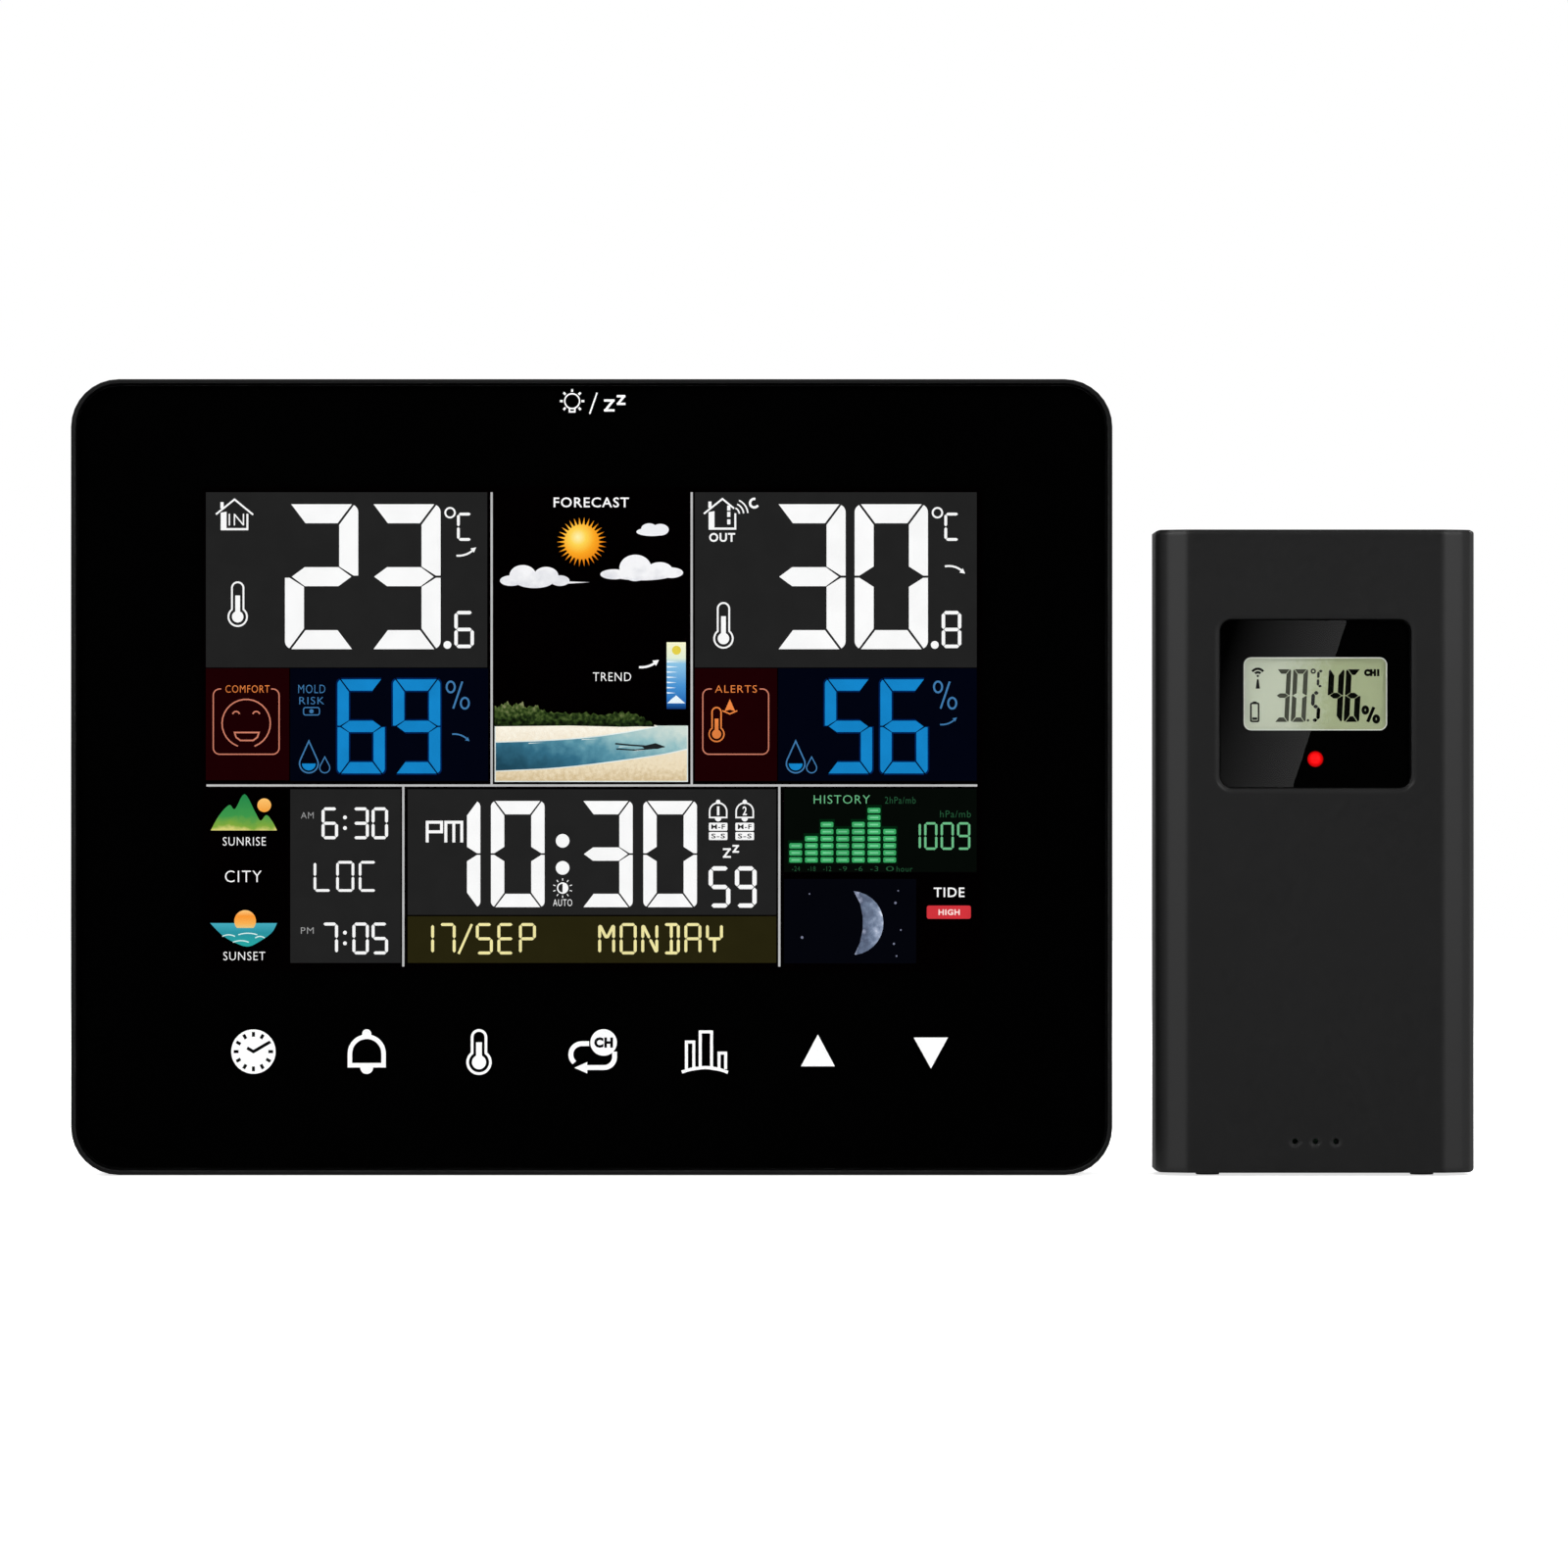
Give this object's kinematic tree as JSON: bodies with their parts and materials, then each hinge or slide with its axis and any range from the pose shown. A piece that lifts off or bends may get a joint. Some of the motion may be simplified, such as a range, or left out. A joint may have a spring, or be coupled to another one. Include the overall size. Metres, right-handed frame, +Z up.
{
  "type": "home weather station",
  "caption": "Colour-display weather console with a fold-out rear stand and touch marks, and its upright wireless outdoor sensor with a small display.",
  "frame": {"origin": "on the resting surface, below the middle of the console's front frame", "axes": "+X right as seen from the front, +Y to the rear, +Z up"},
  "size_m": [0.2645, 0.024, 0.1498],
  "materials": {
    "black_shell": "fine satin moulded ABS",
    "lens_glass": "clear polished acrylic, printed black behind",
    "tape": "black foam adhesive tape",
    "display": "negative colour LCD glass",
    "light_guide": "clear polished light guide",
    "tray": "white moulded plastic",
    "board": "green solder mask on glass-epoxy board",
    "ribbon": "amber flat flex",
    "metal_can": "tinned shield can",
    "copper": "bare copper wire",
    "component": "black moulded component",
    "steel": "zinc-plated steel",
    "cell": "printed battery sleeve",
    "rubber": "soft black rubber",
    "sensor_shell": "dark grey fine-textured ABS",
    "pale_display": "reflective grey-green LCD glass",
    "lamp": "red tinted LED dome",
    "control": "small moulded button caps"
  },
  "bodies": {
    "console": {"front_frame": "black_shell", "rear_cover": "black_shell", "front_lens": "lens_glass", "lens_tape": "tape", "display_glass": "display", "light_guide": "light_guide", "lamp_strip": "board", "display_holder": "tray", "display_ribbon": "ribbon", "touch_board": "board", "snooze_touch_board": "board", "main_board": "board", "radio_module": "metal_can", "antenna_wire": "rubber", "buzzer": "component", "climate_board": "board", "power_jack": "component", "battery_aaa_1": "cell", "battery_aaa_2": "cell", "battery_aaa_3": "cell", "battery_contacts_left": "steel", "battery_contacts_right": "steel", "case_screw_1": "steel", "case_screw_2": "steel", "case_screw_3": "steel", "case_screw_4": "steel"},
    "stand": {"stand_leg": "black_shell", "stand_foot_pad": "rubber"},
    "console_battery_door": {"battery_door": "black_shell"},
    "sensor": {"sensor_front_shell": "sensor_shell", "sensor_back_shell": "sensor_shell", "sensor_window": "lens_glass", "sensor_display": "pale_display", "sensor_lamp": "lamp", "sensor_board": "board", "sensor_probe": "board", "sensor_antenna": "copper", "sensor_battery_aa_1": "cell", "sensor_battery_aa_2": "cell", "sensor_contacts_lower": "steel", "sensor_contacts_upper": "steel", "sensor_foot_1": "rubber", "sensor_foot_2": "rubber", "sensor_foot_3": "rubber", "sensor_foot_4": "rubber", "sensor_screw_1": "steel", "sensor_screw_2": "steel", "sensor_screw_3": "steel", "sensor_screw_4": "steel"},
    "sensor_door": {"sensor_battery_door": "sensor_shell"},
    "tx_button": {"sensor_tx_button": "control"},
    "unit_button": {"sensor_unit_button": "control"},
    "channel_switch": {"sensor_channel_switch": "control"}
  },
  "joints": [
    {"name": "stand_swing", "type": "hinge", "parent": "console", "child": "stand", "pos_m": [0, 0.0164, 0.066], "axis": [1, 0, 0], "range_deg": [0, 38]},
    {"name": "battery_door_pull", "type": "slide", "parent": "console", "child": "console_battery_door", "axis": [0, 1, 0], "range_m": [0, 0.03]},
    {"name": "sensor_lift", "type": "slide", "parent": "console", "child": "sensor", "axis": [0, 0, 1], "range_m": [0, 0.18]},
    {"name": "sensor_door_pull", "type": "slide", "parent": "sensor", "child": "sensor_door", "axis": [0, 1, 0], "range_m": [0, 0.03]},
    {"name": "sensor_tx_press", "type": "slide", "parent": "sensor", "child": "tx_button", "axis": [0, -1, 0], "range_m": [0, 0.0005], "stiffness_N_per_m": 1200},
    {"name": "sensor_unit_press", "type": "slide", "parent": "sensor", "child": "unit_button", "axis": [0, -1, 0], "range_m": [0, 0.0005], "stiffness_N_per_m": 1200},
    {"name": "sensor_channel_slide", "type": "slide", "parent": "sensor", "child": "channel_switch", "axis": [0, 0, -1], "range_m": [0, 0.004]}
  ]
}
